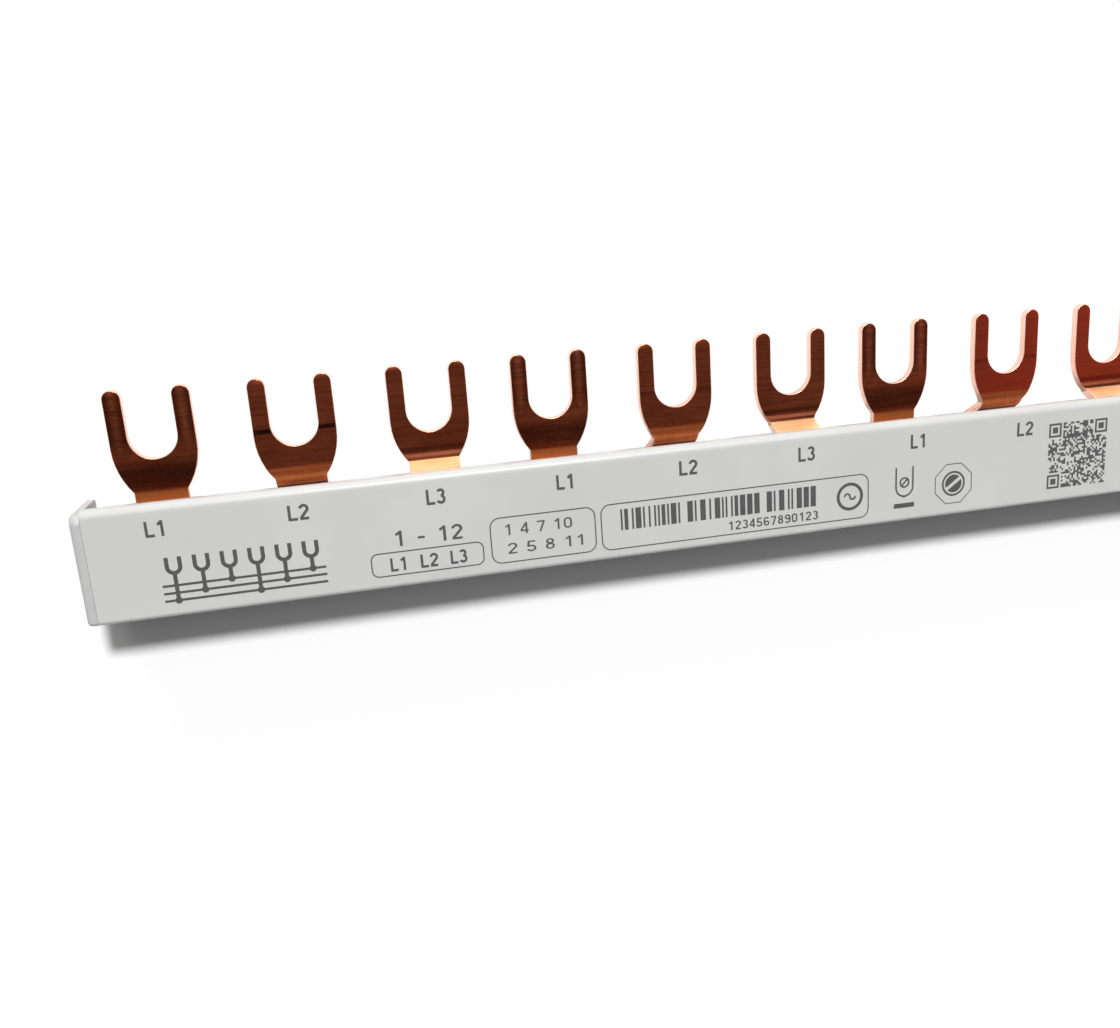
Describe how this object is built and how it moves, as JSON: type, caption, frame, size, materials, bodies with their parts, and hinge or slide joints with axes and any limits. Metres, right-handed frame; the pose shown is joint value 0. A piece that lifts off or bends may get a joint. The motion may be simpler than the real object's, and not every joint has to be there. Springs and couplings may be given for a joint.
{
  "type": "comb busbar",
  "caption": "Comb busbar: stamped copper combs in a grey insulating profile with end caps, fork tabs in one row for modular devices.",
  "frame": {"origin": "middle of the bar and of its height from foot to fork tips, on the plane of the rear wall it lies on", "axes": "+X along the bar to the right of the marked face, +Y towards the fork tips, +Z out of the marked face"},
  "size_m": [0.2144, 0.0286, 0.015],
  "materials": {
    "housing": "smooth extruded light grey plastic",
    "copper": "rolled and stamped copper",
    "end_cap": "moulded grey plastic"
  },
  "bodies": {
    "root": {"housing": "housing", "comb_l1": "copper", "comb_l2": "copper", "comb_l3": "copper", "end_cap_left": "end_cap", "end_cap_right": "end_cap"}
  },
  "joints": []
}
